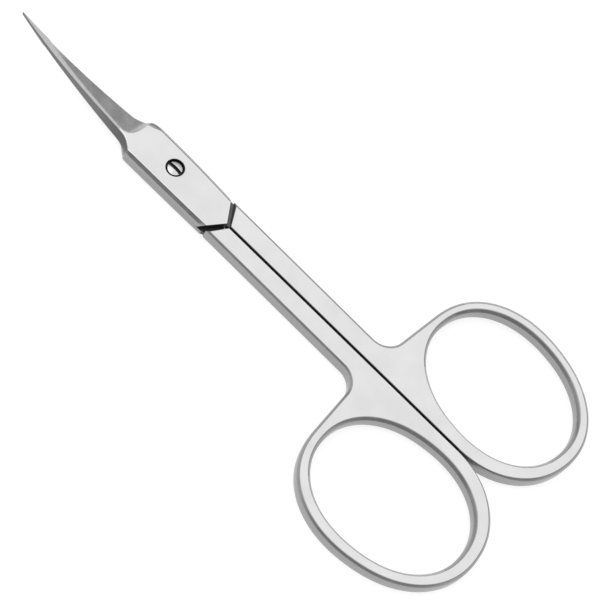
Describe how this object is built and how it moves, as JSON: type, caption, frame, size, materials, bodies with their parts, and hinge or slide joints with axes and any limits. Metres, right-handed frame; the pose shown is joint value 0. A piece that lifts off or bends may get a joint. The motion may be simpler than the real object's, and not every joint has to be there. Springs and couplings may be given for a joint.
{
  "type": "cuticle scissors",
  "caption": "Slim steel cuticle scissors with curved pointed blades, a flat lap joint turning on a slotted screw, and finger rings.",
  "frame": {"origin": "on the screw's axis, in the plane of the rear face that the closed scissors lie on", "axes": "+Y towards the tips of the blades, +Z out of the front face, the side of the screw's head, +X to the right seen from the front with the tips up"},
  "size_m": [0.0462, 0.0975, 0.0048],
  "materials": {
    "front_steel": "polished faces, satin side walls, ground blade",
    "rear_steel": "polished faces, satin side walls, ground blade",
    "screw_steel": "turned and polished"
  },
  "bodies": {
    "rear_body": {"rear_half": "rear_steel", "pivot_screw": "screw_steel"},
    "front_body": {"front_half": "front_steel"}
  },
  "joints": [
    {"name": "blade_pivot", "type": "hinge", "parent": "rear_body", "child": "front_body", "pos_m": [0, 0, 0.00135], "axis": [0, 0, 1], "range_deg": [0, 80]}
  ]
}
